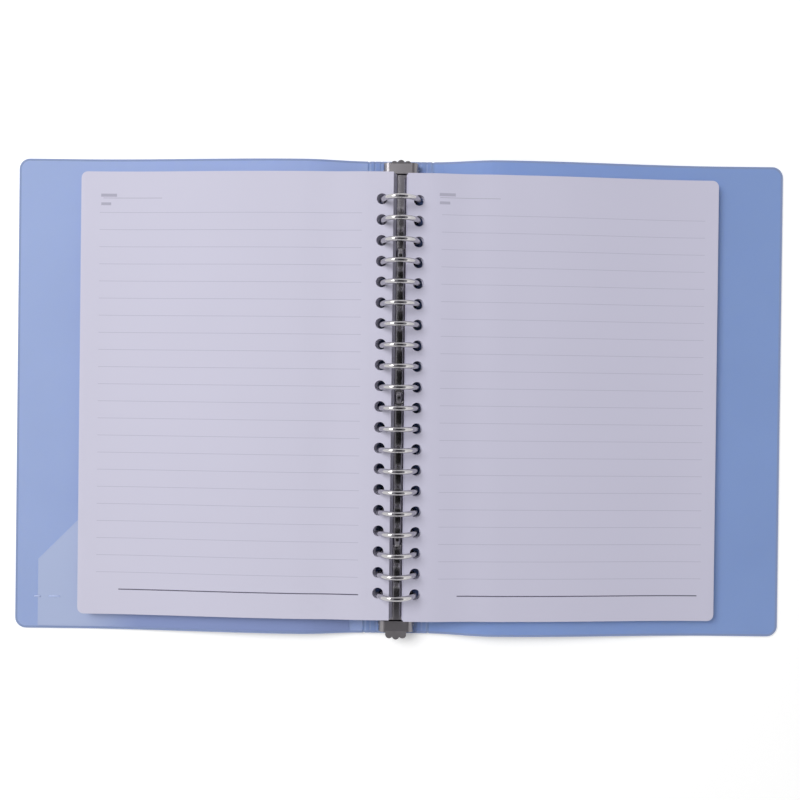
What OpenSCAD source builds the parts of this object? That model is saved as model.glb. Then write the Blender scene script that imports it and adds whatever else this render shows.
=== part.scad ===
// Ring binder notebook lying open, with ruled sheets on both sides of its rings.
// X runs across the open covers, Y along the spine and Z up from the table.
// The origin is under the middle of the spine, on the table.

/* [Rings] */
// Number of rings, an even number so that a rivet fits in the middle
ring_count = 20; // [10:2:22]
// Distance between neighbouring rings, the usual loose-leaf pitch
ring_pitch = 9.5; // [8.5:0.1:12]
// Outside diameter of a closed ring
ring_d = 18.5; // [15:0.1:23]
// Diameter of the ring wire
wire_d = 2.3; // [1.8:0.1:2.8]
// Slant of the seam where two half rings meet, in degrees
seam_slant = 32; // [0:1:40]
// How far a jaw swings open, in degrees
jaw_open = 8; // [4:0.5:9]

/* [Sheets] */
// Width of a sheet
page_w = 145; // [110:1:180]
// Sheet beyond the last ring, at each end
page_end = 12.5; // [9:0.25:16]
// Diameter of a punched hole
hole_d = 5; // [4.1:0.1:6]
// From the middle of a hole to the edge of the sheet
hole_edge = 5.2; // [4.4:0.1:6.2]
// Share of the room beside the rings that the left sheets fill
left_fill = 0.95; // [0.3:0.01:1]
// Share of the room beside the rings that the right sheets fill
right_fill = 0.68; // [0.3:0.01:1]
// Corner radius of a sheet
page_corner = 3; // [1:0.5:8]
// Share of the play in their holes by which the left sheets lie towards the head
left_push = 0.6; // [-1:0.05:1]
// Share of the play in their holes by which the right sheets lie towards the head
right_push = 0.1; // [-1:0.05:1]

/* [Cover] */
// Thickness of the cover sheet
cover_t = 0.8; // [0.6:0.05:1.1]
// Cover beyond the sheets at the fore edge
fore_margin = 31.7; // [22:0.5:45]
// Cover beyond the sheets at the head and the foot
end_margin = 8; // [7:0.25:14]
// Corner radius of the cover
cover_corner = 5; // [1:0.5:12]
// Width of the spine between the two hinge lines
spine_w = 30; // [24:0.5:40]
// Distance between neighbouring crease lines beside a hinge
crease_pitch = 2.9; // [1.5:0.1:3.5]
// Height of the bow in the front cover
front_bow = 5; // [2.5:0.1:7]
// Height of the bow in the back cover
back_bow = 6; // [2.5:0.1:7]
// From the hinge line to the top of the bow
bow_reach = 30; // [20:1:45]
// Width of the strip at the fore edge that lies flat on the table
rest_strip = 29; // [20:1:40]

/* [Pocket] */
// Thickness of the clear pocket film
pocket_t = 0.3; // [0.2:0.05:0.4]
// Gap between the pocket and the fore edge of the cover
pocket_inset = 10.8; // [6:0.2:25]
// Height of the pocket at the fore edge, before its slanted corner
pocket_side = 31.5; // [10:0.5:60]
// Height of the pocket beside the hinge
pocket_h = 92; // [60:1:150]

/* [Housing] */
// Width of the arched housing
housing_w = 14; // [13.4:0.1:17]
// Height of the housing over the spine
housing_h = 4.6; // [4.5:0.1:6]
// Height of its straight side walls
wall_h = 2; // [1.9:0.1:2.4]
// Thickness of the steel sheet
sheet_t = 0.8; // [0.7:0.05:0.9]
// Height of a rivet head under the spine
rivet_foot = 1.6; // [1:0.1:2.4]
// Diameter of a rivet shank
rivet_d = 3.2; // [2.4:0.1:3.6]

/* [Levers] */
// Wall of the lever cap
cap_wall = 0.8; // [0.6:0.05:1.2]
// Diameter of the pivot pin
pin_d = 1.6; // [1.2:0.1:1.8]
// Length of the thumb tab beyond the cap at the head
head_tab = 1.8; // [1.2:0.1:5]
// Length of the thumb tab beyond the cap at the foot
foot_tab = 3.8; // [1.2:0.1:5]
// Tilt of the thumb tab, in degrees
tab_tilt = 10; // [0:1:20]

/* [Hidden] */
$fn = 48;
running_gap = 0.05;
loose_gap = 0.3;

wire_r = wire_d / 2;
ring_r = (ring_d - wire_d) / 2;
row_half = (ring_count - 1) * ring_pitch / 2;
page_h = 2 * (row_half + page_end);
cover_h = page_h + 2 * end_margin;
hole_play = (hole_d - wire_d) / 2 - loose_gap;
left_shift = left_push * hole_play;
right_shift = right_push * hole_play;

// Heights, from the table up: rivet foot, spine, housing, rings
spine_z = rivet_foot;
spine_top = spine_z + cover_t;
crown_z = spine_top + housing_h;
ring_dip = 2.6;
ring_z = crown_z + ring_r - ring_dip;

// Housing section: an arch on two short walls, with lips folded in below the hinge plates
housing_half = housing_w / 2;
arch_rise = housing_h - wall_h;
arch_r = (housing_half * housing_half + arch_rise * arch_rise) / (2 * arch_rise);
arch_z = crown_z - arch_r;
lip_w = 1.3;
housing_end = page_h / 2 + max(abs(left_shift), abs(right_shift)) - 0.1;

// Hinge plates lie on the lips and turn about their round outer edges
plate_bottom = spine_top + sheet_t + running_gap;
plate_top = plate_bottom + sheet_t;
pivot_x = housing_half - sheet_t - running_gap - sheet_t / 2;
pivot_z = plate_bottom + sheet_t / 2;
plate_gap = 0.1;

// A ring ends in a collar on its plate, with a peg through the plate
foot_z = plate_top + 1.1;
foot_a = asin((ring_z - foot_z) / ring_r);
foot_x = ring_r * cos(foot_a);
collar_r = wire_r + 0.15;
collar_h = 1.15;
collar_x = foot_x + 0.13;
peg_r = 0.75;
seam_gap = 0.05;

// A slot clears the wire from its foot to where it leaves the arch, shut and open
slot_in = (ring_r - wire_r) * cos(foot_a) - 0.5;
leave_x = cross_x(ring_r + wire_r, arch_r);
leave_z = arch_z + sqrt(arch_r * arch_r - leave_x * leave_x);
slot_out = min(housing_half - sheet_t, leave_x + (leave_z - pivot_z) * sin(jaw_open) + 0.2);
slot_half = collar_r + loose_gap;

// Sheets hang on the rings with the wire off the middle of their holes
hole_r = ring_r + 0.4;
page_in = hole_r - hole_edge;
page_out = page_in + page_w;
page_drop = 0.1;
page_room = ring_z - page_drop - loose_gap - crown_z;
left_t = left_fill * page_room;
right_t = right_fill * page_room;
page_blend_in = hole_r + hole_d;
page_blend_out = 60;
left_seat = pocket_t + 0.5;
right_seat = loose_gap;

// Cover section
hinge_x = spine_w / 2;
hinge_half = 0.47;
hinge_chamfer = 0.25;
cover_half = page_out + fore_margin;
bow_x = hinge_x + bow_reach;
flat_x = cover_half - rest_strip;
bow_steps = 30;
page_steps = 32;
crease_w = 0.9;
crease_depth = 0.25;

// Pocket outline
pocket_gap = 0.05;
pocket_foot = 1.2;
pocket_in = hinge_x + 7;
pocket_out = cover_half - pocket_inset;
pocket_slant = pocket_h - pocket_side;

// Rivets stand midway between rings
rivet_step = floor((ring_count - 1) * 0.37) * ring_pitch;
rivet_ys = [-rivet_step, 0, rivet_step];
rivet_head_r = 2.9;
rivet_foot_r = 4;
dimple_z = crown_z - sheet_t;
dimple_r = rivet_head_r + 0.4;
dimple_wall = 0.7;

// Levers
pin_r = pin_d / 2;
ear_r = 1.5;
pin_y = housing_end + 2.2;
pin_z = spine_top + 2;
cap_in = pin_y - 1.8;
cap_out = pin_y + 3.3;
cap_bottom = pin_z - 0.8;
cap_top = crown_z + loose_gap + cap_wall;
cap_corner = 3;
lever_half = housing_half + loose_gap + cap_wall;
boss_half = housing_half - sheet_t - loose_gap;
plate_end = pin_y - ear_r - loose_gap;
finger_tip = 2.4;
finger_half = 0.8;
finger_top = plate_bottom - 0.15;
finger_t = 0.55;
web_in = 0.75;
web_out = 0.2;
tab_lobe_r = 1.75;
tab_lobe_x = 3.1;
tab_t = 1;

steel = "silver";
film_blue = [0.58, 0.67, 0.86];
film_deep = [0.5, 0.6, 0.8];
film_clear = [0.75, 0.8, 0.92, 0.6];
paper = [0.88, 0.87, 0.93];

// Where a circle of radius r about the ring centre meets one of radius a about the arch centre
function cross_x(r, a) =
    let (d = ring_z - arch_z, along = (r * r - a * a + d * d) / (2 * d))
    sqrt(r * r - along * along);

function ease(t) = t * t * (3 - 2 * t);

// Height of the underside of a cover at distance s from the middle of the spine
function cover_under(s, bow) =
    s < bow_x ? spine_z + (bow - spine_z) * ease((s - hinge_x) / (bow_x - hinge_x)) :
    s < flat_x ? bow * ease((flat_x - s) / (flat_x - bow_x)) : 0;

// Height of the underside of a stack of sheets of thickness t
function page_under(s, t, bow, seat) =
    let (
        high = ring_z - page_drop - t,
        low = cover_under(s, bow) + cover_t + seat,
        blend = min(1, max(0, (s - page_blend_in) / (page_blend_out - page_blend_in)))
    )
    high + (low - high) * ease(blend);

// Distance of the punched edge from the middle, at height dz over the ring centre
function page_edge(dz) = sqrt(hole_r * hole_r - dz * dz) - hole_edge;

function steps(from, to, n) = [for (i = [0 : n]) from + (to - from) * i / n];

// Bends of the underside of a cover, each as its distance and its height
function bow_line(bow) =
    [for (s = steps(hinge_x + hinge_half, flat_x, bow_steps)) [s, cover_under(s, bow)]];

function raised(line, up) = [for (p = line) [p[0], p[1] + up]];

function reversed(line) = [for (i = [len(line) - 1 : -1 : 0]) line[i]];

function ring_y(i) = (i - (ring_count + 1) / 2) * ring_pitch;

function two_digits(i) = i < 10 ? str("0", i) : str(i);

function left_ring_name(i) = str("ring_left_", two_digits(i));

function right_ring_name(i) = str("ring_right_", two_digits(i));

// An XZ section drawn out along the spine
module along_spine(length) {
    rotate([90, 0, 0])
        linear_extrude(length, center = true)
            children();
}

// A YZ section drawn out across the spine
module across_spine(width) {
    rotate([90, 0, 90])
        linear_extrude(width, center = true)
            children();
}

module mirrored(left) {
    if (left)
        mirror([1, 0, 0]) children();
    else
        children();
}

// Plate outline whose corners are round at its far end in X
module fore_outline(x_in, x_out, height, corner) {
    translate([x_in, -height / 2])
        square([x_out - corner - x_in, height]);
    translate([x_in, corner - height / 2])
        square([x_out - x_in, height - 2 * corner]);
    for (side = [-1, 1])
        translate([x_out - corner, side * (height / 2 - corner)])
            circle(corner);
}

// Cover sheet with its bow and a chamfer at the hinge, on the +X side
module cover_panel(bow) {
    s_in = hinge_x + hinge_half;
    under = bow_line(bow);
    over = reversed(raised([for (p = under) if (p[0] > s_in + hinge_chamfer) p], cover_t));
    chamfer_top = [s_in + hinge_chamfer, cover_under(s_in + hinge_chamfer, bow) + cover_t];
    chamfer_low = [s_in, spine_top - hinge_chamfer];
    fore = [[cover_half, 0], [cover_half, cover_t]];
    intersection() {
        along_spine(cover_h)
            polygon(concat(under, fore, over, [chamfer_top, chamfer_low]));
        linear_extrude(3 * max(front_bow, back_bow))
            fore_outline(hinge_x, cover_half, cover_h, cover_corner);
    }
}

module front_cover() {
    color(film_blue)
        mirrored(true)
            cover_panel(front_bow);
}

module back_cover() {
    color(film_deep)
        cover_panel(back_bow);
}

module spine_panel() {
    edge = hinge_x - hinge_half;
    color(film_deep)
        difference() {
            along_spine(cover_h)
                polygon([
                    [-edge, spine_z],
                    [edge, spine_z],
                    [edge, spine_top - hinge_chamfer],
                    [edge - hinge_chamfer, spine_top],
                    [hinge_chamfer - edge, spine_top],
                    [-edge, spine_top - hinge_chamfer]
                ]);
            for (side = [-1, 1], n = [1, 2])
                translate([side * (hinge_x - n * crease_pitch), 0, spine_top])
                    cube([crease_w, cover_h + 1, 2 * crease_depth], center = true);
            for (y = rivet_ys)
                translate([0, y, spine_z - 1])
                    cylinder(r = rivet_d / 2 + running_gap, h = cover_t + 2);
        }
}

// Clear film that follows the bow of the front cover
module inner_pocket() {
    lift = cover_t + pocket_gap;
    cover_line = bow_line(front_bow);
    ends = [for (s = [pocket_in, pocket_out]) [s, lookup(s, cover_line)]];
    between = [for (p = cover_line) if (p[0] > pocket_in && p[0] < pocket_out) p];
    line = concat([ends[0]], between, [ends[1]]);
    low = pocket_foot - cover_h / 2;
    color(film_clear)
        mirrored(true)
            intersection() {
                along_spine(cover_h)
                    polygon(concat(raised(line, lift), reversed(raised(line, lift + pocket_t))));
                linear_extrude(3 * front_bow)
                    polygon([
                        [pocket_in, low],
                        [pocket_out, low],
                        [pocket_out, low + pocket_side],
                        [pocket_out - pocket_slant, low + pocket_h],
                        [pocket_in, low + pocket_h]
                    ]);
            }
}

// Stack of punched sheets on the +X side
module page_stack(t, bow, seat) {
    punched = [for (dz = steps(-page_drop, -page_drop - t, 6)) [page_edge(dz), ring_z + dz]];
    inner = page_edge(-page_drop - t);
    line = steps(inner, page_out, page_steps);
    under = [for (i = [1 : page_steps]) [line[i], page_under(line[i], t, bow, seat)]];
    over = [for (i = [page_steps : -1 : 2]) [line[i], page_under(line[i], t, bow, seat) + t]];
    difference() {
        intersection() {
            along_spine(page_h)
                polygon(concat(punched, under, over));
            linear_extrude(2 * ring_z)
                fore_outline(0, page_out, page_h, page_corner);
        }
        for (i = [1 : ring_count])
            translate([0, ring_y(i), ring_z])
                rotate([90, 0, 0])
                    rotate([0, 0, -75])
                        rotate_extrude(angle = 90)
                            translate([hole_r, 0])
                                circle(hole_d / 2);
    }
}

module left_pages() {
    color(paper)
        translate([0, left_shift, 0])
            mirrored(true)
                page_stack(left_t, front_bow, left_seat);
}

module right_pages() {
    color(paper)
        translate([0, right_shift, 0])
            page_stack(right_t, back_bow, right_seat);
}

// Cross-section of the housing, open below
module housing_section() {
    inner_half = housing_half - sheet_t;
    difference() {
        intersection() {
            translate([0, arch_z])
                circle(arch_r, $fn = 96);
            translate([-housing_half, spine_top])
                square([housing_w, housing_h + 1]);
        }
        intersection() {
            translate([0, arch_z])
                circle(arch_r - sheet_t, $fn = 96);
            translate([-inner_half, spine_top - 1])
                square([2 * inner_half, housing_h + 1]);
        }
    }
    for (side = [0, 1])
        mirror([side, 0])
            translate([inner_half - lip_w, spine_top])
                square([lip_w + sheet_t / 2, sheet_t]);
}

module housing_ear() {
    ear_base = spine_top + sheet_t;
    difference() {
        union() {
            translate([housing_half - sheet_t, pin_y, pin_z])
                rotate([0, 90, 0])
                    cylinder(r = ear_r, h = sheet_t);
            translate([housing_half - sheet_t, housing_end - 1, ear_base])
                cube([sheet_t, pin_y - housing_end + 1, pin_z - ear_base + ear_r / 2]);
        }
        translate([0, pin_y, pin_z])
            rotate([0, 90, 0])
                cylinder(r = pin_r + running_gap, h = housing_w);
    }
}

module housing() {
    color(steel)
        difference() {
            union() {
                along_spine(2 * housing_end)
                    housing_section();
                for (y = rivet_ys)
                    translate([0, y, dimple_z - dimple_wall])
                        cylinder(r = dimple_r + dimple_wall, h = dimple_wall);
                for (end = [0, 1], side = [0, 1])
                    mirror([side, 0, 0])
                        mirror([0, end, 0])
                            housing_ear();
            }
            for (i = [1 : ring_count], side = [0, 1])
                mirror([side, 0, 0])
                    translate([slot_in, ring_y(i) - slot_half, plate_top])
                        cube([slot_out - slot_in, 2 * slot_half, housing_h]);
            for (y = rivet_ys) {
                translate([0, y, dimple_z])
                    cylinder(r = dimple_r, h = housing_h);
                translate([0, y, spine_top])
                    cylinder(r = rivet_d / 2 + running_gap, h = housing_h);
            }
        }
}

// Steel strip that carries one row of half rings, on the +X side
module hinge_plate() {
    difference() {
        union() {
            translate([plate_gap, -plate_end, plate_bottom])
                cube([pivot_x - plate_gap, 2 * plate_end, sheet_t]);
            translate([pivot_x, plate_end, pivot_z])
                rotate([90, 0, 0])
                    cylinder(d = sheet_t, h = 2 * plate_end);
        }
        for (y = rivet_ys)
            translate([0, y, plate_bottom - 1])
                cylinder(r = rivet_d / 2 + 0.7, h = sheet_t + 2);
        for (i = [1 : ring_count])
            translate([collar_x, ring_y(i), plate_bottom - 1])
                cylinder(r = peg_r + running_gap, h = sheet_t + 2);
    }
}

module hinge_plate_left() {
    color(steel)
        mirrored(true)
            hinge_plate();
}

module hinge_plate_right() {
    color(steel)
        hinge_plate();
}

// Half ring on the +X side: an arc of wire, a collar on the plate and a peg through it
module half_ring() {
    seam_a = 16;
    difference() {
        translate([0, 0, ring_z])
            rotate([90, 0, 0])
                rotate([0, 0, -foot_a])
                    rotate_extrude(angle = foot_a + 90 + seam_a)
                        translate([ring_r, 0])
                            circle(wire_r);
        translate([0, 0, ring_z + ring_r])
            rotate([0, 0, seam_slant])
                translate([seam_gap - ring_r, 0, 0])
                    cube([2 * ring_r, 6 * wire_d, 3 * wire_d], center = true);
    }
    translate([collar_x, 0, plate_top])
        cylinder(r = collar_r, h = collar_h);
    translate([collar_x, 0, plate_bottom - loose_gap])
        cylinder(r = peg_r, h = sheet_t + loose_gap + collar_h / 2);
}

module ring_left(i) {
    color(steel)
        translate([0, ring_y(i), 0])
            rotate([0, 0, 180])
                half_ring();
}

module ring_right(i) {
    color(steel)
        translate([0, ring_y(i), 0])
            half_ring();
}

// Rivet: flat foot under the spine, shank, and a domed head in the dimple of the housing
module rivet() {
    dome_h = crown_z - dimple_z;
    dome_r = (rivet_head_r * rivet_head_r + dome_h * dome_h) / (2 * dome_h);
    foot_edge = 0.6;
    translate([0, 0, foot_edge])
        cylinder(r = rivet_foot_r, h = spine_z - foot_edge);
    cylinder(r1 = rivet_foot_r - foot_edge, r2 = rivet_foot_r, h = foot_edge);
    cylinder(d = rivet_d, h = dimple_z + dome_h / 2);
    translate([0, 0, crown_z - dome_r])
        intersection() {
            sphere(dome_r);
            translate([0, 0, dome_r - dome_h])
                cylinder(r = rivet_head_r + 1, h = 2 * dome_h);
        }
}

module rivets() {
    color(steel)
        for (y = rivet_ys)
            translate([0, y, 0])
                rivet();
}

// Cap section over the housing end, drawn smaller by the inset
module cap_section(inset) {
    half = lever_half - inset;
    top = cap_top - inset;
    corner = cap_corner - inset;
    translate([corner - half, cap_bottom])
        square([2 * (half - corner), top - cap_bottom]);
    translate([-half, cap_bottom])
        square([2 * half, top - corner - cap_bottom]);
    intersection() {
        for (side = [-1, 1])
            translate([side * (half - corner), top - corner])
                circle(corner);
        translate([-half, cap_bottom])
            square([2 * half, top - cap_bottom]);
    }
}

// Thumb tab outline with three lobes, from its root outwards
module tab_outline(reach) {
    lobe_y = reach - tab_lobe_r;
    translate([-tab_lobe_x - tab_lobe_r, -1])
        square([2 * (tab_lobe_x + tab_lobe_r), lobe_y + 0.8]);
    for (n = [-1, 0, 1])
        translate([n * tab_lobe_x, lobe_y + (n == 0 ? 0 : -0.5)])
            circle(tab_lobe_r);
}

// Opening lever at the +Y end
module lever(tab_reach) {
    difference() {
        union() {
            translate([0, (cap_in + cap_out) / 2, 0])
                along_spine(cap_out - cap_in)
                    cap_section(0);
            translate([0, cap_out - cap_wall / 2, cap_top - tab_t])
                rotate([tab_tilt, 0, 0])
                    linear_extrude(tab_t)
                        tab_outline(tab_reach);
        }
        translate([0, (cap_in + cap_out) / 2 - cap_wall, 0])
            along_spine(cap_out - cap_in)
                translate([0, -0.01])
                    cap_section(cap_wall);
        translate([-2 * lever_half, pin_y, pin_z])
            rotate([0, 90, 0])
                cylinder(r = pin_r + running_gap, h = 4 * lever_half);
    }
    difference() {
        union() {
            translate([-boss_half, pin_y, pin_z])
                rotate([0, 90, 0])
                    cylinder(r = ear_r, h = 2 * boss_half);
            translate([-boss_half, pin_y, pin_z - sheet_t / 2])
                cube([2 * boss_half, cap_out - cap_wall / 2 - pin_y, sheet_t]);
            across_spine(2 * finger_half)
                polygon([
                    [pin_y - finger_tip, finger_top],
                    [pin_y - finger_tip, finger_top - finger_t],
                    [pin_y + web_out, finger_top - finger_t],
                    [pin_y + web_out, pin_z - pin_r],
                    [pin_y - web_in, pin_z - pin_r],
                    [pin_y - web_in, finger_top]
                ]);
        }
        translate([-2 * lever_half, pin_y, pin_z])
            rotate([0, 90, 0])
                cylinder(r = pin_r + running_gap, h = 4 * lever_half);
    }
}

module lever_top() {
    color(steel)
        lever(head_tab);
}

module lever_bottom() {
    color(steel)
        mirror([0, 1, 0])
            lever(foot_tab);
}

module lever_pin(end) {
    color(steel)
        translate([-lever_half - 0.2, end * pin_y, pin_z])
            rotate([0, 90, 0])
                cylinder(r = pin_r, h = 2 * lever_half + 0.4);
}

ring_numbers = [for (i = [1 : ring_count]) i];

spine_panel();
front_cover();
back_cover();
inner_pocket();
left_pages();
right_pages();
housing();
hinge_plate_left();
hinge_plate_right();
rivets();
lever_top();
lever_bottom();
lever_pin(1);  // lever_pin_top
lever_pin(-1);  // lever_pin_bottom
for (i = ring_numbers) {
    ring_left(i);
    ring_right(i);
}
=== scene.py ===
import math
import random

import bpy
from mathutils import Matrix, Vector


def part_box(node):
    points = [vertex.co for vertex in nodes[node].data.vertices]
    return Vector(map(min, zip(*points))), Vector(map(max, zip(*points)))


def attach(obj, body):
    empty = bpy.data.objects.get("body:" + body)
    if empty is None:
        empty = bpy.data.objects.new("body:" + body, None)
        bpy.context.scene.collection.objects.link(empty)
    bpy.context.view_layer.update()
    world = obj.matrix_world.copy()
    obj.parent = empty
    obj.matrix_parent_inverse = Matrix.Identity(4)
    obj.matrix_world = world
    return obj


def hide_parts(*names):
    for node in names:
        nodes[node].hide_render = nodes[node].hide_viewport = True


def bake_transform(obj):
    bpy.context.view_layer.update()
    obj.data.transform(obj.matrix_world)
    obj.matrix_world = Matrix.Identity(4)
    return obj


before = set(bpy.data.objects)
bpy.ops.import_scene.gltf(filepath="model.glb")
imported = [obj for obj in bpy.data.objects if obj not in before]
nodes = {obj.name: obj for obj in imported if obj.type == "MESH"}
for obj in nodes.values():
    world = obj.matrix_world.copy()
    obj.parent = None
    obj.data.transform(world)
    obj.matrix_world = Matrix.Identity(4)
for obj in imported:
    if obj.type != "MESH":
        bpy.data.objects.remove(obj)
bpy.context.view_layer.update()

random.seed(11)
mm = 0.001


def hexToLinear(text):
    channels = [int(text[i:i + 2], 16) / 255 for i in (1, 3, 5)]
    linear = [c / 12.92 if c <= 0.04045 else ((c + 0.055) / 1.055) ** 2.4 for c in channels]
    return (*linear, 1.0)


def toned(text, share):
    # the same colour, deeper below one and paler above it
    return (*[c * share for c in hexToLinear(text)[:3]], 1.0)


def addNode(tree, kind, settings=None, inputs=None):
    # inputs holds plain values, or the sockets that feed them
    node = tree.nodes.new(kind)
    for key, value in (settings or {}).items():
        setattr(node, key, value)
    for key, value in (inputs or {}).items():
        if isinstance(value, bpy.types.NodeSocket):
            tree.links.new(value, node.inputs[key])
        else:
            node.inputs[key].default_value = value
    return node


def startMaterial(name):
    material = bpy.data.materials.new(name)
    material.use_nodes = True
    tree = material.node_tree
    tree.nodes.clear()
    place = addNode(tree, "ShaderNodeTexCoord").outputs["Object"]
    return material, tree, place


def finishMaterial(tree, shader):
    addNode(tree, "ShaderNodeOutputMaterial", inputs={"Surface": shader.outputs[0]})


def seenDirectly(tree):
    # one for rays from the camera and those that metal or clear film send on, nothing for light
    rays = addNode(tree, "ShaderNodeLightPath").outputs
    straight = addNode(tree, "ShaderNodeMath", {"operation": "ADD"},
                       {0: rays["Is Camera Ray"], 1: rays["Is Transmission Ray"]}).outputs[0]
    return addNode(tree, "ShaderNodeMath", {"operation": "ADD", "use_clamp": True},
                   {0: straight, 1: rays["Is Glossy Ray"]}).outputs[0]


def wear(piece, material):
    # one finish all over a piece
    if not piece.material_slots:
        piece.data.materials.append(None)
    for slot in piece.material_slots:
        slot.material = material


def deselectAll():
    if bpy.context.object and bpy.context.object.mode != "OBJECT":
        bpy.ops.object.mode_set(mode="OBJECT")
    bpy.ops.object.select_all(action="DESELECT")


def makeActive(piece):
    deselectAll()
    piece.select_set(True)
    bpy.context.view_layer.objects.active = piece


def namedPiece(name):
    # the primitive that was just added, with its place moved into its mesh
    piece = bpy.context.object
    piece.name = name
    piece.data.name = name
    bpy.ops.object.transform_apply(location=True, rotation=True, scale=True)
    return piece


def slabPrimitive(name, low, high):
    # a cube primitive stretched between two corners
    deselectAll()
    middle = [(a + b) / 2 for a, b in zip(low, high)]
    bpy.ops.mesh.primitive_cube_add(size=1, location=middle)
    bpy.context.object.scale = [b - a for a, b in zip(low, high)]
    return namedPiece(name)


def cutAcross(piece, places):
    # edge lines at these x, where a flat piece will bend
    makeActive(piece)
    bpy.ops.object.mode_set(mode="EDIT")
    for place in places:
        bpy.ops.mesh.select_all(action="SELECT")
        bpy.ops.mesh.bisect(plane_co=(place, 0, 0), plane_no=(1, 0, 0))
    bpy.ops.object.mode_set(mode="OBJECT")


def joinPieces(pieces, name):
    deselectAll()
    for piece in pieces:
        piece.select_set(True)
    bpy.context.view_layer.objects.active = pieces[0]
    bpy.ops.object.join()
    pieces[0].name = name
    pieces[0].data.name = name
    return pieces[0]


def applyModifiers(piece):
    makeActive(piece)
    for modifier in list(piece.modifiers):
        bpy.ops.object.modifier_apply(modifier=modifier.name)


def outwardFaces(piece):
    makeActive(piece)
    bpy.ops.object.mode_set(mode="EDIT")
    bpy.ops.mesh.select_all(action="SELECT")
    bpy.ops.mesh.remove_doubles(threshold=0.001 * mm)
    bpy.ops.mesh.normals_make_consistent(inside=False)
    bpy.ops.object.mode_set(mode="OBJECT")


def smoothByAngle(piece, degrees):
    makeActive(piece)
    bpy.ops.object.shade_smooth_by_angle(angle=math.radians(degrees))


# Frosted polypropylene sheet: extruded with a fine matt grain, milky and soft in its highlights
film = {
    # one film all over: the front is painted paler, the back and the spine deeper, as painted light
    # and shade
    "front": "#99abd8",
    "back": "#849dd1",
    "spine": "#8298c9",
    "edgeShadeDepth": 0.72,         # how much deeper the cut edges are painted: the film seen edge-on, and painted shade
    "edgeBelow": 0.5,          # a face counts as cut edge where its normal rises less than this
    "rim": "#8797bd",          # painted shade: a deeper band along the outline, where the cut edge is seen through the sheet
    "rimShadeWidth": 1.0 * mm,
    "corner": 5.0 * mm,
    "cloudSize": 55 * mm,
    "cloudDepth": 0.05,
    "grain": 0.45 * mm,        # the real grain is finer, and is drawn this coarse so that it shows
    "grainHeight": 0.03 * mm,
    "grainStrength": 0.4,
    "creaseXs": (9.2, 12.1, 14.4),     # mm from the middle, on both sides
    "creaseWhiteAndHighlight": "#93a6d2",
    "creaseWidth": 0.8 * mm,
    "roughness": 0.6,
    "ior": 1.49,
    "specular": 0.3,
    "glow": 0.25,              # light that spreads inside the milky sheet
    "glowRadius": (1.0, 1.2, 2.0),
    "glowScale": 1.2 * mm,
}


def nearRimShade(tree, place):
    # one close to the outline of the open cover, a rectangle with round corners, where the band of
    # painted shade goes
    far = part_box("back_cover")[1]
    cornerCentre = (far.x - film["corner"], far.y - film["corner"], 0)
    vector = "ShaderNodeVectorMath"
    quarter = addNode(tree, vector, {"operation": "ABSOLUTE"}, {0: place}).outputs[0]
    past = addNode(tree, vector, {"operation": "SUBTRACT"},
                   {0: quarter, 1: cornerCentre}).outputs[0]
    outside = addNode(tree, vector, {"operation": "MAXIMUM"}, {0: past, 1: (0, 0, 0)}).outputs[0]
    flat = addNode(tree, vector, {"operation": "MULTIPLY"}, {0: outside, 1: (1, 1, 0)}).outputs[0]
    reach = addNode(tree, vector, {"operation": "LENGTH"}, {0: flat}).outputs["Value"]
    return addNode(tree, "ShaderNodeMath", {"operation": "GREATER_THAN"},
                   {0: reach, 1: film["corner"] - film["rimShadeWidth"]}).outputs[0]


def frostedPolypropylene(name, shade, creases=()):
    material, tree, place = startMaterial(name)
    colourMix = {"data_type": "RGBA"}
    cloud = addNode(tree, "ShaderNodeTexNoise", inputs={
        "Vector": place, "Scale": 1 / film["cloudSize"], "Detail": 2.0})
    deep = toned(shade, 1 - film["cloudDepth"])
    pale = toned(shade, 1 + film["cloudDepth"])
    tone = addNode(tree, "ShaderNodeMix", colourMix,
                   {0: cloud.outputs[0], 6: deep, 7: pale}).outputs[2]
    across = addNode(tree, "ShaderNodeSeparateXYZ", inputs={0: place}).outputs["X"]
    for crease in creases:     # stress whitening where the sheet was pressed to fold, and a painted highlight along the creases
        near = addNode(tree, "ShaderNodeMath", {"operation": "COMPARE"},
                       {0: across, 1: crease, 2: film["creaseWidth"] / 2}).outputs[0]
        tone = addNode(tree, "ShaderNodeMix", colourMix,
                       {0: near, 6: tone, 7: hexToLinear(film["creaseWhiteAndHighlight"])}).outputs[2]
    # painted shade in a band along the outline
    tone = addNode(tree, "ShaderNodeMix", colourMix,
                   {0: nearRimShade(tree, place), 6: tone, 7: hexToLinear(film["rim"])}).outputs[2]
    # cut edges, found by their slope, are painted deeper: the film seen edge-on, and painted shade
    facing = addNode(tree, "ShaderNodeNewGeometry").outputs["Normal"]
    upright = addNode(tree, "ShaderNodeSeparateXYZ", inputs={0: facing}).outputs["Z"]
    level = addNode(tree, "ShaderNodeMath", {"operation": "ABSOLUTE"}, {0: upright}).outputs[0]
    cutEdgeShade = addNode(tree, "ShaderNodeMath", {"operation": "LESS_THAN"},
                      {0: level, 1: film["edgeBelow"]}).outputs[0]
    tone = addNode(tree, "ShaderNodeMix", colourMix,
                   {0: cutEdgeShade, 6: tone, 7: toned(shade, film["edgeShadeDepth"])}).outputs[2]
    grain = addNode(tree, "ShaderNodeTexNoise", inputs={
        "Vector": place, "Scale": 1 / film["grain"], "Detail": 1.0})
    bump = addNode(tree, "ShaderNodeBump", inputs={
        "Height": grain.outputs[0], "Distance": film["grainHeight"],
        "Strength": film["grainStrength"]})
    shader = addNode(tree, "ShaderNodeBsdfPrincipled", inputs={
        "Base Color": tone, "Roughness": film["roughness"], "IOR": film["ior"],
        "Specular IOR Level": film["specular"], "Normal": bump.outputs[0],
        "Subsurface Weight": film["glow"], "Subsurface Radius": film["glowRadius"],
        "Subsurface Scale": film["glowScale"],
    })
    finishMaterial(tree, shader)
    return material


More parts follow.
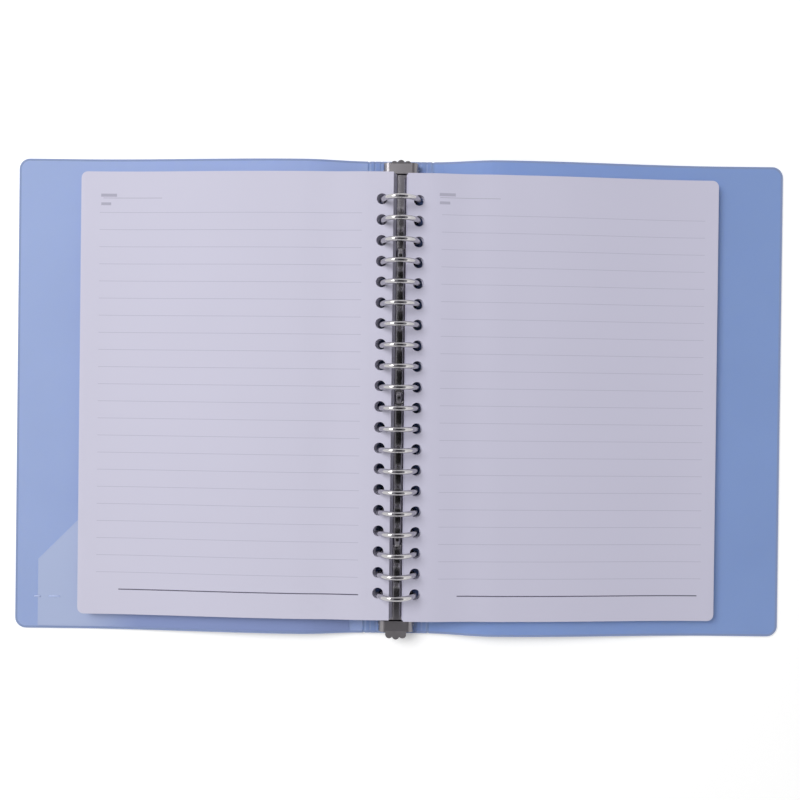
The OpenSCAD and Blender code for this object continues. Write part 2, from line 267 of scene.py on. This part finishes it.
# Clear polypropylene film: thin, slightly milky, lies on the cover and lightens it
pocket = {
    "film": "#b4c1e3",
    "pressedWithPaintedShade": "#8e9ecf",      # painted shade under the sheets: the film lies close on the cover there and loses its milky veil, and is painted deeper than the cover
    "pressedWithPaintedShadeFrom": (-152 * mm, -118 * mm),
    "cover": 0.85,             # how much of the cover it hides
    "cloudSize": 30 * mm,
    "roughness": (0.3, 0.38),
    "ior": 1.49,
    "weldBody": "#aab8de",     # fused to the cover, it hides it altogether
    "weldY": -95.7 * mm,
    "weldXs": ((-171.0, -167.9), (-164.2, -158.8)),
    "weldWidth": 0.9 * mm,
    "weldHeight": (0.6 * mm, 1.3 * mm),
    "weldEdge": 0.15 * mm,
    "smoothAngle": 40,
}


def clearPolypropylene(name, shade, hides, pressedWithPaintedShade=None):
    material, tree, place = startMaterial(name)
    cloud = addNode(tree, "ShaderNodeTexNoise", inputs={
        "Vector": place, "Scale": 1 / pocket["cloudSize"], "Detail": 2.0})
    rough = addNode(tree, "ShaderNodeMapRange", inputs={
        0: cloud.outputs[0], 3: pocket["roughness"][0], 4: pocket["roughness"][1]})
    tone = hexToLinear(shade)
    # towards the spine the film is painted deeper than the cover, as painted shade of the sheets
    if pressedWithPaintedShade:
        across = addNode(tree, "ShaderNodeSeparateXYZ", inputs={0: place}).outputs["X"]
        shadeMask = addNode(tree, "ShaderNodeMapRange", {"interpolation_type": "SMOOTHSTEP"},
                        {0: across, 1: pocket["pressedWithPaintedShadeFrom"][0], 2: pocket["pressedWithPaintedShadeFrom"][1]})
        tone = addNode(tree, "ShaderNodeMix", {"data_type": "RGBA"},
                       {0: shadeMask.outputs[0], 6: tone, 7: hexToLinear(pressedWithPaintedShade)}).outputs[2]
    shader = addNode(tree, "ShaderNodeBsdfPrincipled", inputs={
        "Base Color": tone, "Roughness": rough.outputs[0], "IOR": pocket["ior"], "Alpha": hides,
    })
    finishMaterial(tree, shader)
    return material


# Woodfree writing paper: uncoated, faintly lilac, a fibrous matt face with pale printed rules
paper = {
    # one paper on both sides; the left is painted a little paler than the right, as painted light
    "left": "#cfcddf",
    "right": "#cbc9dc",
    "edge": "#c3c1d2",
    "leftSteps": "#54516a",    # painted shade on the punched edges of the lower sheets, which stay in each other's shade
    # painted shade on the punched edges on the right, lighter than on the left
    "rightSteps": "#b4b2c4",
    "rule": "#9d9bb2",
    "ruleInk": 0.45,           # how strongly the thin rules are printed
    "footRule": "#5f5d70",
    "bar": "#aeacbe",
    "ruleWidth": 0.28 * mm,
    "footWidth": 0.5 * mm,
    "rulePitch": 7.95 * mm,
    "ruleCount": 22,
    "ruleSlack": 0.2,          # of a pitch, so that the first and the last rule are drawn too
    "cloudSize": 35 * mm,
    "cloudDepth": 0.975,
    "fibre": 0.5 * mm,         # real fibres are finer, and are drawn this coarse so that they show
    "fibreHeight": 0.02 * mm,
    "fibreStrength": 0.3,
    "roughness": 0.75,
    "ior": 1.45,
    "specular": 0.3,
}
# Printed lines of each side: where the rules run, and the plain marks of the heading
printing = {
    "left": {
        "firstRule": 84.4 * mm,
        "ruleFrom": -139.7 * mm,
        "ruleTo": -17.6 * mm,
        "footFrom": -129.2 * mm,
        "footTo": -17.4 * mm,
        "bars": (((-135.4, 92.4), (3.7, 0.7)), ((-136.7, 88.4), (2.3, 0.65))),
        "line": ((-124.2, 91.1), (13.8, 0.14)),
    },
    "right": {
        "firstRule": 84.0 * mm,
        "ruleFrom": 19.0 * mm,
        "ruleTo": 142.1 * mm,
        "footFrom": 27.8 * mm,
        "footTo": 140.3 * mm,
        "bars": (((21.5, 93.2), (3.7, 0.7)), ((20.3, 89.4), (2.4, 0.65))),
        "line": ((32.0, 91.8), (13.9, 0.14)),
    },
}


def insideBox(tree, across, along, centre, half):
    # one inside a printed rectangle, nothing outside it
    inside = [addNode(tree, "ShaderNodeMath", {"operation": "COMPARE"},
                      {0: axis, 1: middle, 2: reach}).outputs[0]
              for axis, middle, reach in zip((across, along), centre, half)]
    return addNode(tree, "ShaderNodeMath", {"operation": "MULTIPLY"},
                   {0: inside[0], 1: inside[1]}).outputs[0]


def writingPaper(name, shade, marks=None):
    material, tree, place = startMaterial(name)
    colourMix = {"data_type": "RGBA"}
    cloud = addNode(tree, "ShaderNodeTexNoise", inputs={
        "Vector": place, "Scale": 1 / paper["cloudSize"], "Detail": 3.0})
    deep = toned(shade, paper["cloudDepth"])
    tone = addNode(tree, "ShaderNodeMix", colourMix,
                   {0: cloud.outputs[0], 6: deep, 7: hexToLinear(shade)}).outputs[2]
    if marks:
        axes = addNode(tree, "ShaderNodeSeparateXYZ", inputs={0: place})
        across, along = axes.outputs["X"], axes.outputs["Y"]
        fall = addNode(tree, "ShaderNodeMath", {"operation": "SUBTRACT"},
                       {0: marks["firstRule"], 1: along}).outputs[0]
        count = addNode(tree, "ShaderNodeMath", {"operation": "DIVIDE"},
                        {0: fall, 1: paper["rulePitch"]}).outputs[0]
        whole = addNode(tree, "ShaderNodeMath", {"operation": "ROUND"}, {0: count}).outputs[0]
        halfRule = paper["ruleWidth"] / paper["rulePitch"] / 2
        onRule = addNode(tree, "ShaderNodeMath", {"operation": "COMPARE"},
                         {0: count, 1: whole, 2: halfRule}).outputs[0]
        middle = (marks["ruleFrom"] + marks["ruleTo"]) / 2
        reach = (marks["ruleTo"] - marks["ruleFrom"]) / 2
        halfCount = (paper["ruleCount"] - 1) / 2
        field = insideBox(tree, across, whole,
                          (middle, halfCount), (reach, halfCount + paper["ruleSlack"]))
        rules = addNode(tree, "ShaderNodeMath", {"operation": "MULTIPLY"},
                        {0: onRule, 1: field}).outputs[0]
        ink = addNode(tree, "ShaderNodeMath", {"operation": "MULTIPLY"},
                      {0: rules, 1: paper["ruleInk"]}).outputs[0]
        tone = addNode(tree, "ShaderNodeMix", colourMix,
                       {0: ink, 6: tone, 7: hexToLinear(paper["rule"])}).outputs[2]
        foot = marks["firstRule"] - paper["ruleCount"] * paper["rulePitch"]
        footMiddle = (marks["footFrom"] + marks["footTo"]) / 2
        footReach = (marks["footTo"] - marks["footFrom"]) / 2
        printed = [("footRule", (footMiddle, foot), (footReach, paper["footWidth"] / 2))]
        for centre, half in (*marks["bars"], marks["line"]):
            printed.append(("bar", [c * mm for c in centre], [h * mm for h in half]))
        for colour, centre, half in printed:
            spot = insideBox(tree, across, along, centre, half)
            tone = addNode(tree, "ShaderNodeMix", colourMix,
                           {0: spot, 6: tone, 7: hexToLinear(paper[colour])}).outputs[2]
    fibre = addNode(tree, "ShaderNodeTexNoise", inputs={
        "Vector": place, "Scale": 1 / paper["fibre"], "Detail": 3.0})
    bump = addNode(tree, "ShaderNodeBump", inputs={
        "Height": fibre.outputs[0], "Distance": paper["fibreHeight"],
        "Strength": paper["fibreStrength"]})
    shader = addNode(tree, "ShaderNodeBsdfPrincipled", inputs={
        "Base Color": tone, "Roughness": paper["roughness"], "IOR": paper["ior"],
        "Specular IOR Level": paper["specular"], "Normal": bump.outputs[0],
    })
    finishMaterial(tree, shader)
    return material


# Nickel-plated steel: pressed sheet and drawn wire, barrel plated, bright with slight waviness
nickel = {
    "sheet": "#c9c7c9",
    # wire and levers are the same plating, painted deeper than the sheet: painted shade for the
    # dark reflections they show
    "wire": "#c2c0c2",
    "lever": "#8f8c8f",
    "sheetRoughness": (0.1, 0.2),
    "wireRoughness": (0.06, 0.13),
    "leverRoughness": (0.32, 0.44),    # tumbled before plating, so the thumb pieces are satin
    "smearSize": 6.0 * mm,
    "waviness": 3.0 * mm,
    "waveHeight": 0.02 * mm,
    "waveStrength": 0.3,
}


def nickelPlate(name, shade, roughness):
    material, tree, place = startMaterial(name)
    smear = addNode(tree, "ShaderNodeTexNoise", inputs={
        "Vector": place, "Scale": 1 / nickel["smearSize"], "Detail": 4.0})
    rough = addNode(tree, "ShaderNodeMapRange", inputs={
        0: smear.outputs[0], 3: roughness[0], 4: roughness[1]})
    wave = addNode(tree, "ShaderNodeTexNoise", inputs={
        "Vector": place, "Scale": 1 / nickel["waviness"], "Detail": 1.0})
    bump = addNode(tree, "ShaderNodeBump", inputs={
        "Height": wave.outputs[0], "Distance": nickel["waveHeight"],
        "Strength": nickel["waveStrength"]})
    shader = addNode(tree, "ShaderNodeBsdfPrincipled", inputs={
        "Base Color": hexToLinear(shade), "Metallic": 1.0,
        "Roughness": rough.outputs[0], "Normal": bump.outputs[0],
    })
    finishMaterial(tree, shader)
    return material


creaseXs = [side * x * mm for side in (-1, 1) for x in film["creaseXs"]]
# the same film in three tones of painted light and shade
frontFilm = frostedPolypropylene("frostedPolypropyleneFrontPaintedLight", film["front"])
backFilm = frostedPolypropylene("frostedPolypropyleneBackPaintedShade", film["back"])
spineFilm = frostedPolypropylene("frostedPolypropyleneSpinePaintedShade", film["spine"], creaseXs)
pocketFilm = clearPolypropylene("clearPolypropyleneFilmPaintedShade", pocket["film"], pocket["cover"],
                                pocket["pressedWithPaintedShade"])
weldFilm = clearPolypropylene("weldedPolypropylene", pocket["weldBody"], 1.0)
sheetNickel = nickelPlate("nickelPlatedSheetSteel", nickel["sheet"], nickel["sheetRoughness"])
# wire and levers in deeper tones of the same plating, painted shade
wireNickel = nickelPlate("nickelPlatedWirePaintedShade", nickel["wire"], nickel["wireRoughness"])
leverNickel = nickelPlate("satinNickelPlatedSteelPaintedShade", nickel["lever"], nickel["leverRoughness"])

wear(nodes["front_cover"], frontFilm)
wear(nodes["back_cover"], backFilm)
wear(nodes["spine_panel"], spineFilm)
wear(nodes["inner_pocket"], pocketFilm)
for name in ("housing", "hinge_plate_left", "hinge_plate_right", "rivets",
             "lever_pin_top", "lever_pin_bottom"):
    wear(nodes[name], sheetNickel)
for name in ("lever_top", "lever_bottom"):
    wear(nodes[name], leverNickel)
for name in nodes:
    if name.startswith("ring_"):
        wear(nodes[name], wireNickel)
print("finishes on the packed nodes done")

# Sheets of paper, modelled once flat, then laid over each other on each side
ringLow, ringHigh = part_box("ring_left_01")
lastRingLow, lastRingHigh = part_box("ring_left_20")
sheet = {
    "hole": 5.0 * mm,
    "holeToEdge": 5.2 * mm,
    "hangRadius": 8.5 * mm,    # hole centres, about the ring centre
    "ringCentreZ": 12.5 * mm,
    "flatUntil": 13.5 * mm,    # the stack lies level beside the rings up to here
    "corner": 3.0 * mm,
    "cornerSteps": 5,
    "holeSides": 20,
    "layers": 15,              # each layer stands for three or four sheets
    "gap": 0.03 * mm,
    "stagger": 0.16 * mm,      # how far layers slip past each other
    "slip": (-1, 0.6),         # of the stagger, across and then along the page
    "slide": (-1, 1),
    "cornerLift": 0.5 * mm,
    "liftedLayers": 3,
    "liftAcross": 0.75,        # share of the width where the outer corners begin to lift
    "liftAlong": 0.7,          # and the share of the half height
    "halfHeight": 102.0 * mm,  # distance from the middle at which the lift is full
    "stepStrip": 1.2 * mm,     # width of the strip of painted shade at the punched edge
    "edgeBelow": 0.5,          # a face counts as cut edge where its normal rises less than this
    "sameThickness": 0.05 * mm,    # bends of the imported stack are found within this
    "smoothAngle": 30,
}
holeCount = 20
firstHoleY = (ringLow.y + ringHigh.y) / 2
holePitch = ((lastRingLow.y + lastRingHigh.y) / 2 - firstHoleY) / (holeCount - 1)


def stackLine(node):
    # top of a packed stack at each of its bends, as distance from the spine and height
    low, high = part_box(node)
    heights = {}
    for vertex in nodes[node].data.vertices:
        station = round(abs(vertex.co.x) / mm, 2)
        heights.setdefault(station, []).append(vertex.co.z)
    outer = max(heights)
    thickness = max(heights[outer]) - min(heights[outer])
    line = [(0.0, high.z), (sheet["flatUntil"], high.z)]
    for station in sorted(heights):
        tall = max(heights[station]) - min(heights[station])
        if station * mm > sheet["flatUntil"] and abs(tall - thickness) < sheet["sameThickness"]:
            line.append((station * mm, max(heights[station])))
    return line, thickness


def heightOn(line, distance):
    for (x0, z0), (x1, z1) in zip(line, line[1:]):
        if distance <= x1:
            return z0 + (z1 - z0) * (distance - x0) / (x1 - x0)
    return line[-1][1]


def flatPunchedSheet(width, height, thickness, bends):
    deselectAll()
    bpy.ops.mesh.primitive_plane_add(size=1, location=(width / 2, 0, 0))
    bpy.context.object.scale = (width, height, 1)
    flat = namedPiece("flatSheet")
    bpy.ops.object.mode_set(mode="EDIT")
    bpy.ops.mesh.select_all(action="DESELECT")
    bpy.ops.object.mode_set(mode="OBJECT")
    for vertex in flat.data.vertices:      # round the two outer corners
        vertex.select = vertex.co.x > width / 2
    bpy.ops.object.mode_set(mode="EDIT")
    bpy.ops.mesh.select_mode(type="VERT")
    bpy.ops.mesh.bevel(offset=sheet["corner"], segments=sheet["cornerSteps"], affect="VERTICES")
    bpy.ops.mesh.select_all(action="SELECT")
    bpy.ops.mesh.extrude_region_move(TRANSFORM_OT_translate={"value": (0, 0, -thickness)})
    bpy.ops.mesh.select_all(action="SELECT")
    bpy.ops.mesh.normals_make_consistent(inside=False)
    bpy.ops.object.mode_set(mode="OBJECT")

    deselectAll()
    bpy.ops.mesh.primitive_cylinder_add(vertices=sheet["holeSides"], radius=sheet["hole"] / 2,
                                        depth=4 * thickness,
                                        location=(sheet["holeToEdge"], firstHoleY, -thickness / 2))
    punch = namedPiece("punch")
    row = punch.modifiers.new("row", "ARRAY")
    row.count = holeCount
    row.use_relative_offset = False
    row.use_constant_offset = True
    row.constant_offset_displace = (0, holePitch, 0)
    applyModifiers(punch)
    cut = flat.modifiers.new("holes", "BOOLEAN")
    cut.object = punch
    cut.operation = "DIFFERENCE"
    applyModifiers(flat)
    bpy.data.objects.remove(punch)
    cutAcross(flat, bends)
    return flat


def layDown(flat, name, side, line, thickness, shift, outer, finishes):
    # copies of the flat sheet bent over each other; side is -1 on the left
    top, plain, edge, stepShade = finishes
    width = max(v.co.x for v in flat.data.vertices)
    step = thickness / sheet["layers"]
    high = line[0][1]
    layers = []
    for k in range(sheet["layers"]):
        layer = flat.copy()
        layer.data = flat.data.copy()
        bpy.context.collection.objects.link(layer)
        depth = k * step
        drop = high - depth - sheet["ringCentreZ"]
        inner = math.sqrt(sheet["hangRadius"] ** 2 - drop ** 2) - sheet["holeToEdge"]
        slip = random.uniform(*sheet["slip"]) * sheet["stagger"] if k else 0.0
        slide = random.uniform(*sheet["slide"]) * sheet["stagger"] if k else 0.0
        lift = sheet["cornerLift"] * max(0, sheet["liftedLayers"] - k) / sheet["liftedLayers"]
        for vertex in layer.data.vertices:
            u = vertex.co.x / width
            x = inner + u * (outer + slip - inner)
            v = abs(vertex.co.y) / sheet["halfHeight"]
            outward = max(0, u - sheet["liftAcross"]) / (1 - sheet["liftAcross"])
            endward = max(0, v - sheet["liftAlong"]) / (1 - sheet["liftAlong"])
            z = heightOn(line, x) - depth + vertex.co.z + lift * (outward * endward) ** 2
            y = vertex.co.y + shift + slide * u
            vertex.co = (side * x, y, z)
        for finish in (top if k == 0 else plain, edge, stepShade):
            layer.data.materials.append(finish)
        for face in layer.data.polygons:
            # painted shade on the punched edge of each sheet below the top one
            if k and abs(face.center.x) < inner + sheet["stepStrip"] / 2:
                face.material_index = 2
        layers.append(layer)
    stack = joinPieces(layers, name)
    if side < 0:               # mirrored by its place, so turned outwards again
        bpy.ops.object.mode_set(mode="EDIT")
        bpy.ops.mesh.select_all(action="SELECT")
        bpy.ops.mesh.flip_normals()
        bpy.ops.object.mode_set(mode="OBJECT")
    for face in stack.data.polygons:
        if abs(face.normal.z) < sheet["edgeBelow"] and abs(face.center.x) > sheet["hangRadius"]:
            face.material_index = stack.data.materials.find(edge.name)
    smoothByAngle(stack, sheet["smoothAngle"])
    return stack


for side, node, body, slot in ((-1, "left_pages", "left_sheets", "sheets_left"),
                               (1, "right_pages", "right_sheets", "sheets_right")):
    word = "left" if side < 0 else "right"
    low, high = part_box(node)
    line, thickness = stackLine(node)
    outer = max(-low.x, high.x)
    width = outer - (sheet["hangRadius"] - sheet["holeToEdge"])
    bends = [sheet["stepStrip"]] + [x - (outer - width) for x, z in line[1:-1]]
    layerThickness = thickness / sheet["layers"] - sheet["gap"]
    flat = flatPunchedSheet(width, high.y - low.y, layerThickness, bends)
    finishes = (writingPaper("ruledPaper" + word.capitalize(), paper[word], printing[word]),
                writingPaper("plainPaper" + word.capitalize(), paper[word]),
                writingPaper("paperEdge" + word.capitalize(), paper["edge"]),
                writingPaper("punchedEdgeShade" + word.capitalize(), paper[word + "Steps"]))
    stack = layDown(flat, word + "Sheets", side, line, thickness, (low.y + high.y) / 2, outer,
                    finishes)
    bpy.data.objects.remove(flat)
    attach(stack, body)
    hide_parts(node)
    print(word, "sheets laid,", len(stack.data.polygons), "faces")

# Living hinges: thin webs of the same film between the spine and each cover
hinge = {
    "lineX": 15.0 * mm,
    "halfWidth": 0.8 * mm,
    "height": (1.72 * mm, 2.28 * mm),
    "waist": 0.45,             # share of the thickness left in the middle
    "waistWidth": 0.8,         # share of the bend that is thinned
    "bendHalf": 0.42 * mm,
    "endGap": 0.2 * mm,
    "cuts": 8,
    "smoothAngle": 40,
}
spineLow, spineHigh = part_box("spine_panel")
for side, body, slot in ((-1, "front", "cover_front"), (1, "back", "cover_back")):
    middle = side * hinge["lineX"]
    bottomZ, topZ = hinge["height"]
    web = slabPrimitive(body + "Hinge",
                        (middle - hinge["halfWidth"], spineLow.y + hinge["endGap"], bottomZ),
                        (middle + hinge["halfWidth"], spineHigh.y - hinge["endGap"], topZ))
    cutAcross(web, [middle + hinge["bendHalf"] * (2 * i / hinge["cuts"] - 1)
                    for i in range(hinge["cuts"] + 1)])
    centreZ = (bottomZ + topZ) / 2
    for vertex in web.data.vertices:
        vertex.select = abs(vertex.co.x - middle) < hinge["waistWidth"] * hinge["bendHalf"]
    for edge in web.data.edges:
        edge.select = all(web.data.vertices[v].select for v in edge.vertices)
    for face in web.data.polygons:
        face.select = all(web.data.vertices[v].select for v in face.vertices)
    bpy.ops.object.mode_set(mode="EDIT")
    bpy.ops.transform.resize(value=(1, 1, hinge["waist"]), center_override=(middle, 0, centreZ))
    bpy.ops.object.mode_set(mode="OBJECT")
    outwardFaces(web)
    smoothByAngle(web, hinge["smoothAngle"])
    wear(web, spineFilm)
    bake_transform(web)
print("living hinges done")

# Weld marks beside the edge of the pocket
welds = []
bottomZ, topZ = pocket["weldHeight"]
for x0, x1 in pocket["weldXs"]:
    weld = slabPrimitive("pocketWeld",
                         (x0 * mm, pocket["weldY"] - pocket["weldWidth"] / 2, bottomZ),
                         (x1 * mm, pocket["weldY"] + pocket["weldWidth"] / 2, topZ))
    soften = weld.modifiers.new("soften", "BEVEL")
    soften.width = pocket["weldEdge"]
    soften.segments = 2
    applyModifiers(weld)
    welds.append(weld)
weld = joinPieces(welds, "pocketWelds")
smoothByAngle(weld, pocket["smoothAngle"])
wear(weld, weldFilm)
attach(weld, "front")
print("pocket welds done")

# Pale table and plain soft studio light
studio = {
    "table": "#ffffff",
    "tableZ": -0.05 * mm,
    "tableSize": 4.0,
    "tableRoughness": 0.9,
    "tableSpecular": 0.1,
    "tableLift": 0.17,         # carries the board to white for the eye, without lighting the object
    "fadeFrom": 0.45,          # past this far from the middle the board turns to plain white
    "fadeTo": 1.0,
    "keyPlace": (-0.95, 0.6, 1.5),
    "keySize": 1.1,
    "keyPower": 26.5,
    "fillPlace": (0.9, -0.3, 1.1),
    "fillSize": 1.0,
    "fillPower": 1.1,
    "ambient": 0.34,
}
deselectAll()
bpy.ops.mesh.primitive_plane_add(size=studio["tableSize"], location=(0, 0, studio["tableZ"]))
table = namedPiece("table")
tableMaterial, tree, place = startMaterial("mattWhiteBoard")
seen = seenDirectly(tree)
lift = addNode(tree, "ShaderNodeMath", {"operation": "MULTIPLY"}, {0: seen, 1: studio["tableLift"]})
matt = addNode(tree, "ShaderNodeBsdfPrincipled", inputs={
    "Base Color": hexToLinear(studio["table"]), "Roughness": studio["tableRoughness"],
    "Specular IOR Level": studio["tableSpecular"],
    "Emission Color": (1, 1, 1, 1), "Emission Strength": lift.outputs[0],
})
away = addNode(tree, "ShaderNodeVectorMath", {"operation": "LENGTH"}, {0: place}).outputs["Value"]
far = addNode(tree, "ShaderNodeMapRange", {"interpolation_type": "SMOOTHSTEP"},
              {0: away, 1: studio["fadeFrom"], 2: studio["fadeTo"]})
fade = addNode(tree, "ShaderNodeMath", {"operation": "MULTIPLY"}, {0: seen, 1: far.outputs[0]})
white = addNode(tree, "ShaderNodeEmission", inputs={"Color": (1, 1, 1, 1)})
finishMaterial(tree, addNode(tree, "ShaderNodeMixShader", inputs={
    0: fade.outputs[0], 1: matt.outputs[0], 2: white.outputs[0]}))
wear(table, tableMaterial)


def softbox(name, place, size, power):
    light = bpy.data.lights.new(name, "AREA")
    light.shape = "SQUARE"
    light.size = size
    light.energy = power
    lamp = bpy.data.objects.new(name, light)
    lamp.location = place
    lamp.rotation_euler = (-Vector(place)).to_track_quat("-Z", "Y").to_euler()
    bpy.context.collection.objects.link(lamp)
    return lamp


softbox("keySoftbox", studio["keyPlace"], studio["keySize"], studio["keyPower"])
softbox("fillSoftbox", studio["fillPlace"], studio["fillSize"], studio["fillPower"])

# Cards over the object that only reflections see, as the dark camera and the studio ceiling
cards = {
    "camera": {"tone": "#141414", "low": (-0.1, -0.23), "high": (0.2, 0.19), "height": 0.455},
    "ceiling": {"tone": "#8c8a90", "low": (-0.3, -0.7), "high": (0.42, 0.7), "height": 0.47},
}
for name, card in cards.items():
    middle = [(a + b) / 2 for a, b in zip(card["low"], card["high"])]
    deselectAll()
    bpy.ops.mesh.primitive_plane_add(size=1, location=(*middle, card["height"]))
    bpy.context.object.scale = (*[b - a for a, b in zip(card["low"], card["high"])], 1)
    board = namedPiece(name + "Card")
    paint, tree = startMaterial(name + "CardPaint")[:2]
    glow = addNode(tree, "ShaderNodeEmission", inputs={"Color": hexToLinear(card["tone"])})
    finishMaterial(tree, glow)
    wear(board, paint)
    board.visible_camera = False
    board.visible_diffuse = False
    board.visible_shadow = False
    board.visible_transmission = False

world = bpy.data.worlds.new("studio")
bpy.context.scene.world = world
world.use_nodes = True
tree = world.node_tree
tree.nodes.clear()
level = addNode(tree, "ShaderNodeMix", {"data_type": "FLOAT"},
                {0: seenDirectly(tree), 2: studio["ambient"], 3: 1.0})
backdrop = addNode(tree, "ShaderNodeBackground",
                   inputs={"Color": (1, 1, 1, 1), "Strength": level.outputs[0]})
addNode(tree, "ShaderNodeOutputWorld", inputs={"Surface": backdrop.outputs[0]})

# Camera straight above, turned a little about its axis
view = {
    "place": (0.98 * mm, 0.37 * mm, 0.380),
    "turn": (-0.00383, 0.00072, 0.01184),
    "lens": 36.14,
    "sensor": 36.0,
    "clipStart": 0.01,
}
camera = bpy.data.cameras.new("camera")
camera.lens = view["lens"]
camera.sensor_width = view["sensor"]
camera.clip_start = view["clipStart"]
cameraObject = bpy.data.objects.new("camera", camera)
cameraObject.location = view["place"]
cameraObject.rotation_euler = view["turn"]
bpy.context.collection.objects.link(cameraObject)
bpy.context.scene.camera = cameraObject
bpy.context.scene.view_settings.view_transform = "Standard"
print("stage done")
